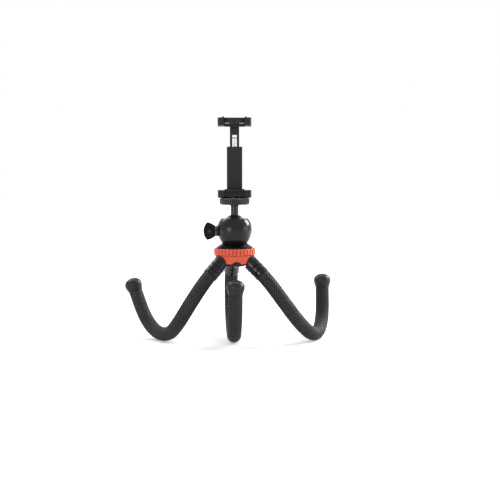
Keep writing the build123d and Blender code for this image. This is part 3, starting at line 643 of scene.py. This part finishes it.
def pad_section(y0, y1, seat, face):
    """A pad's section in (y, z): a lip at the front and ribs across the face that grips."""
    grip = 1 if face > seat else -1
    lip_top = face + grip * PAD_LIP_H
    section = [(y1, seat), (y0, seat), (y0, lip_top), (y0 + PAD_LIP_W * PAD_LIP_TOP_SHARE, lip_top)]
    section.append((y0 + PAD_LIP_W, face))
    ribs = int((y1 - y0 - PAD_LIP_W) / PAD_RIB_PITCH)
    pitch = (y1 - y0 - PAD_LIP_W) / ribs
    fall, bottom, rise = PAD_RIB_SHARES
    for rib in range(ribs):
        start = y0 + PAD_LIP_W + rib * pitch
        floor = face - grip * PAD_RIB_DEPTH
        section += [(start + fall * pitch, floor), (start + bottom * pitch, floor)]
        section += [(start + rise * pitch, face), (start + pitch, face)]
    return section


def make_pad(name, node, body, upside):
    """A ribbed rubber pad with rounded edges, in the place of the plain one."""
    low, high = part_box(node)
    seat, face = (low.z, high.z - PAD_LIP_H) if upside else (high.z, low.z + PAD_LIP_H)
    section = pad_section(low.y, high.y, seat, face)
    count = len(section)
    stations = [(-1.0, PAD_END_INSET), (-1.0 + PAD_END_SHARE, 0.0)]
    stations += [(1.0 - PAD_END_SHARE, 0.0), (1.0, PAD_END_INSET)]
    middle_y, half_x = (low.y + high.y) / 2, (high.x - low.x) / 2
    points = []
    for share, inset in stations:
        shrink = 1 - inset / ((high.y - low.y) / 2)
        points += [(share * half_x, middle_y + (y - middle_y) * shrink, z) for y, z in section]
    faces = [tuple(range(count)), tuple(reversed(range(len(points) - count, len(points))))]
    for row in range(len(stations) - 1):
        faces += [tuple(reversed(quad)) for quad in ring_faces(row * count, (row + 1) * count, count)]
    if not upside:
        faces = [tuple(reversed(corners)) for corners in faces]
    piece = new_piece(name, points, faces, "pad_rubber")
    piece.data.set_sharp_from_angle(angle=math.radians(PAD_SHARP_DEG))
    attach(piece, body)
    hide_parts(node)


def pin_loop(pin, middle_y, towards):
    """A spring end's loop round its pin; it starts on the side that faces the coils."""
    low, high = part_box(pin)
    radius = SPRING_PIN_R + SPRING_WIRE_R + SPRING_LOOP_GAP
    points = []
    for step in range(LOOP_STEPS + 1):
        turn = math.radians(LOOP_DEG) * step / LOOP_STEPS
        height = (low.z + high.z) / 2 + towards * radius * math.cos(turn)
        points.append(Vector((0, middle_y + radius * math.sin(turn), height)))
    return points


def make_spring():
    """The tension spring between the jaws: its coils and a loop round each pin."""
    low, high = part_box("jaw_spring")
    middle_y = (low.y + high.y) / 2
    lower = pin_loop("spring_anchor_pin", middle_y, 1)
    upper = pin_loop("spring_slide_pin", middle_y, -1)
    total = SPRING_TURNS * SPRING_STEPS
    centres = lower[::-1]
    for step in range(1, total):
        turn = 2 * math.pi * step / SPRING_STEPS
        radius = SPRING_R * min(1.0, min(step, total - step) / (SPRING_END_TURNS * SPRING_STEPS))
        height = lower[0].z + (upper[0].z - lower[0].z) * step / total
        centres.append(Vector((radius * math.cos(turn), middle_y + radius * math.sin(turn), height)))
    centres += upper
    tangents = []
    for number in range(len(centres)):
        before, after = centres[max(0, number - 1)], centres[min(len(centres) - 1, number + 1)]
        tangents.append((after - before).normalized())
    rows, _ = frames_along(centres, tangents, Vector((1, 0, 0)))
    points, faces = [], [tuple(reversed(range(SPRING_COLUMNS)))]
    for centre, side, up in rows:
        points += ring(centre, side, up, [SPRING_WIRE_R] * SPRING_COLUMNS)
    for r in range(len(rows) - 1):
        faces += ring_faces(r * SPRING_COLUMNS, (r + 1) * SPRING_COLUMNS, SPRING_COLUMNS)
    faces.append(tuple(range(len(points) - SPRING_COLUMNS, len(points))))
    piece = new_piece("spring_coil", points, faces, "steel", (0, len(faces) - 1))
    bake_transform(piece)
    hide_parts("jaw_spring")


def cross_cutter(centre, axis, size, depth):
    """A four-armed cutter for a cross recess, narrower at its bottom."""
    side, up = axis_frame(axis)
    side, up = (side + up * RECESS_TURN).normalized(), (up - side * RECESS_TURN).normalized()
    arm = size * RECESS_ARM_SHARE
    plan = [(arm, size), (-arm, size), (-arm, arm), (-size, arm), (-size, -arm), (-arm, -arm)]
    plan += [(-arm, -size), (arm, -size), (arm, -arm), (size, -arm), (size, arm), (arm, arm)]
    points = []
    for height, shrink in ((-depth, RECESS_FLOOR_SHARE), (depth, RECESS_MOUTH_SHARE)):
        points += [centre + side * (u * shrink) + up * (v * shrink) + axis * height for u, v in plan]
    count = len(plan)
    faces = [tuple(reversed(range(count))), tuple(range(count, 2 * count))]
    faces += ring_faces(0, count, count)
    mesh = bpy.data.meshes.new("cross_cutter")
    mesh.from_pydata(points, [], faces)
    cutter = bpy.data.objects.new("cross_cutter", mesh)
    bpy.context.scene.collection.objects.link(cutter)
    return cutter


def make_screw(name, seat, axis, head_r, head_h, shank_r, shank_len, body, node):
    """A domed screw with a cross recess; its axis points out of the head."""
    taper = -shank_len + shank_r * SHANK_TAPER_SHARE
    profile = [(0.0, -shank_len), (shank_r * SHANK_TIP_SHARE, -shank_len), (shank_r, taper)]
    profile += [(shank_r, 0.0), (head_r, 0.0)]
    for step in range(HEAD_RIM_STEPS + 1):
        turn = step / HEAD_RIM_STEPS * math.pi / 2
        rim = HEAD_RIM_SHARE + (1 - HEAD_RIM_SHARE) * math.cos(turn)
        share = rim if step < HEAD_RIM_STEPS else HEAD_TOP_SHARE
        profile.append((head_r * share, head_h * (HEAD_WALL_SHARE + HEAD_DOME_SHARE * math.sin(turn))))
    profile += [(head_r * HEAD_FLAT_SHARE, head_h * HEAD_FLAT_HEIGHT_SHARE), (0.0, head_h)]
    piece = lathe(name, seat, axis, profile, SCREW_COLUMNS, "steel")
    cut_size, cut_depth = head_r * RECESS_SIZE_SHARE, head_h * RECESS_DEPTH_SHARE
    cutter = cross_cutter(seat + axis * head_h, axis, cut_size, cut_depth)
    recess = piece.modifiers.new("recess", "BOOLEAN")
    recess.operation, recess.solver, recess.object = "DIFFERENCE", "EXACT", cutter
    cut = bpy.data.meshes.new_from_object(piece.evaluated_get(bpy.context.evaluated_depsgraph_get()))
    piece.modifiers.clear()
    piece.data = cut
    bpy.data.objects.remove(cutter)
    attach(piece, body)
    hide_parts(node)


def make_screws():
    """The screws of the back cover and of the bottom plate."""
    low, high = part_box("back_cover_screws")
    cover_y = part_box("back_cover")[1].y
    for x in (low.x + COVER_SCREW_HEAD_R, high.x - COVER_SCREW_HEAD_R):
        for z in (low.z + COVER_SCREW_HEAD_R, high.z - COVER_SCREW_HEAD_R):
            name = f"cover_screw_{'l' if x < 0 else 'r'}{'t' if z > (low.z + high.z) / 2 else 'b'}"
            sizes = (COVER_SCREW_HEAD_R, high.y - cover_y, COVER_SCREW_R, cover_y - low.y)
            make_screw(name, Vector((x, cover_y, z)), Vector((0, 1, 0)), *sizes, "clamp", "back_cover_screws")
    low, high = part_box("bottom_plate_screws")
    plate_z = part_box("bottom_plate")[0].z
    for number, azimuth in enumerate(PLATE_SCREW_AZIMUTHS_DEG, start=1):
        turn = math.radians(azimuth)
        seat = Vector((PLATE_SCREW_RING_R * math.cos(turn), PLATE_SCREW_RING_R * math.sin(turn), plate_z))
        sizes = (PLATE_SCREW_HEAD_R, plate_z - low.z, PLATE_SCREW_R, high.z - plate_z)
        make_screw(f"plate_screw_{number}", seat, Vector((0, 0, -1)), *sizes, "hub", "bottom_plate_screws")


def make_knob_caps():
    """A low domed cap on the round boss of each face of the lock knob."""
    low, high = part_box("lock_knob")
    middle = Vector(((low.x + high.x) / 2 + KNOB_CAP_SHIFT, 0.0, (low.z + high.z) / 2))
    for name, face, out in (("knob_cap_front", low.y, -1), ("knob_cap_back", high.y, 1)):
        profile = [(0.0, -KNOB_CAP_SINK), (KNOB_CAP_R, -KNOB_CAP_SINK), (KNOB_CAP_R, 0.0)]
        for step in range(1, KNOB_CAP_STEPS + 1):
            turn = step / KNOB_CAP_STEPS * math.pi / 2
            radius = KNOB_CAP_R * math.cos(turn) if step < KNOB_CAP_STEPS else 0.0
            profile.append((radius, KNOB_CAP_RISE * math.sin(turn)))
        centre = Vector((middle.x, face, middle.z))
        piece = lathe(name, centre, Vector((0, out, 0)), profile, KNOB_CAP_COLUMNS, "black_plastic")
        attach(piece, "lock_knob")


def seen_rays(nodes):
    """1 for the rays that meet the white background and 0 for the rest."""
    path = nodes.add("ShaderNodeLightPath")
    total = path.outputs[SHOWN_RAYS[0]]
    for kind in SHOWN_RAYS[1:]:
        more = nodes.add("ShaderNodeMath", operation="MAXIMUM")
        nodes.link(total, more.inputs[0])
        nodes.link(path.outputs[kind], more.inputs[1])
        total = more.outputs[0]
    return total


def make_floor():
    """A pale paper floor that keeps the object's shadow and runs out to white further off."""
    corners = [(x * FLOOR_REACH, y * FLOOR_REACH, 0) for x, y in ((-1, -1), (1, -1), (1, 1), (-1, 1))]
    mesh = bpy.data.meshes.new("floor")
    mesh.from_pydata(corners, [], [(0, 1, 2, 3)])
    floor = bpy.data.objects.new("floor", mesh)
    bpy.context.scene.collection.objects.link(floor)
    made = bpy.data.materials.new("floor_paper")
    made.use_nodes = True
    nodes = Nodes(made.node_tree)
    shader = made.node_tree.nodes["Principled BSDF"]
    shader.inputs["Roughness"].default_value = PAPER_ROUGHNESS
    shader.inputs["Specular IOR Level"].default_value = 0.0
    fibre = nodes.remap(nodes.noise(PAPER_CELLS, 4.0), NOISE_RANGE, 0.0, 1.0)
    nodes.link(nodes.mix(fibre, PAPER_DARK, PAPER_LIGHT), shader.inputs["Base Color"])
    far = nodes.add("ShaderNodeVectorMath", operation="LENGTH")
    nodes.link(nodes.place(), far.inputs[0])
    glow = nodes.remap(far.outputs["Value"], GLOW_RANGE, GLOW_NEAR, GLOW_FAR)
    seen = nodes.add("ShaderNodeMath", operation="MULTIPLY")
    nodes.link(glow, seen.inputs[0])
    nodes.link(seen_rays(nodes), seen.inputs[1])
    shader.inputs["Emission Color"].default_value = WHITE
    nodes.link(seen.outputs[0], shader.inputs["Emission Strength"])
    mesh.materials.append(made)


def make_world():
    """White where it is seen, mirrored or seen through, and plain light elsewhere."""
    world = bpy.data.worlds.new("world")
    bpy.context.scene.world = world
    world.use_nodes = True
    nodes = Nodes(world.node_tree)
    light = world.node_tree.nodes["Background"]
    light.inputs["Color"].default_value = WHITE
    light.inputs["Strength"].default_value = WORLD_LIGHT
    seen = nodes.add("ShaderNodeBackground", {"Color": WHITE, "Strength": 1.0})
    mix = nodes.add("ShaderNodeMixShader")
    nodes.link(seen_rays(nodes), mix.inputs["Fac"])
    nodes.link(light.outputs[0], mix.inputs[1])
    nodes.link(seen.outputs[0], mix.inputs[2])
    nodes.link(mix.outputs["Shader"], world.node_tree.nodes["World Output"].inputs["Surface"])


def softbox(name, direction, distance, width, height, radiance):
    """A rectangular studio lamp in a direction and at a distance from LIT_POINT, of a given brightness."""
    data = bpy.data.lights.new(name, "AREA")
    data.shape = "RECTANGLE"
    data.size, data.size_y = width, height
    data.energy = math.pi * width * height * radiance
    lamp = bpy.data.objects.new(name, data)
    bpy.context.scene.collection.objects.link(lamp)
    lamp.location = LIT_POINT + Vector(direction).normalized() * distance
    aim(lamp, LIT_POINT)


def make_lights():
    """Softboxes behind the object at both sides, one at the front left, one at the right and one above."""
    softbox("rim_right", (0.80, 0.36, 0.48), 1.1, 0.5, 0.45, 20.0)
    softbox("rim_left", (-0.63, 0.37, 0.68), 1.1, 0.35, 0.4, 9.0)
    softbox("front_left", (-0.60, -0.80, 0.08), 1.2, 0.45, 0.42, 6.0)
    softbox("right_side", (0.97, -0.15, 0.15), 1.2, 0.7, 0.5, 3.2)
    softbox("top", (0.0, 0.25, 0.97), 1.2, 0.9, 0.7, 3.0)


bpy.context.scene.view_settings.view_transform = "Standard"
add_camera()
finishes = make_materials()
paint_cad()
for leg_name in LEGS:
    make_sleeves(leg_name)
    make_wire(leg_name)
    make_foot_cap(leg_name)
    make_ferrule_beads(leg_name)
make_pad("lower_pad", "lower_jaw_pad", "clamp", True)
make_pad("upper_pad", "upper_jaw_pad", "jaw", False)
make_spring()
make_screws()
make_knob_caps()
make_floor()
make_world()
make_lights()
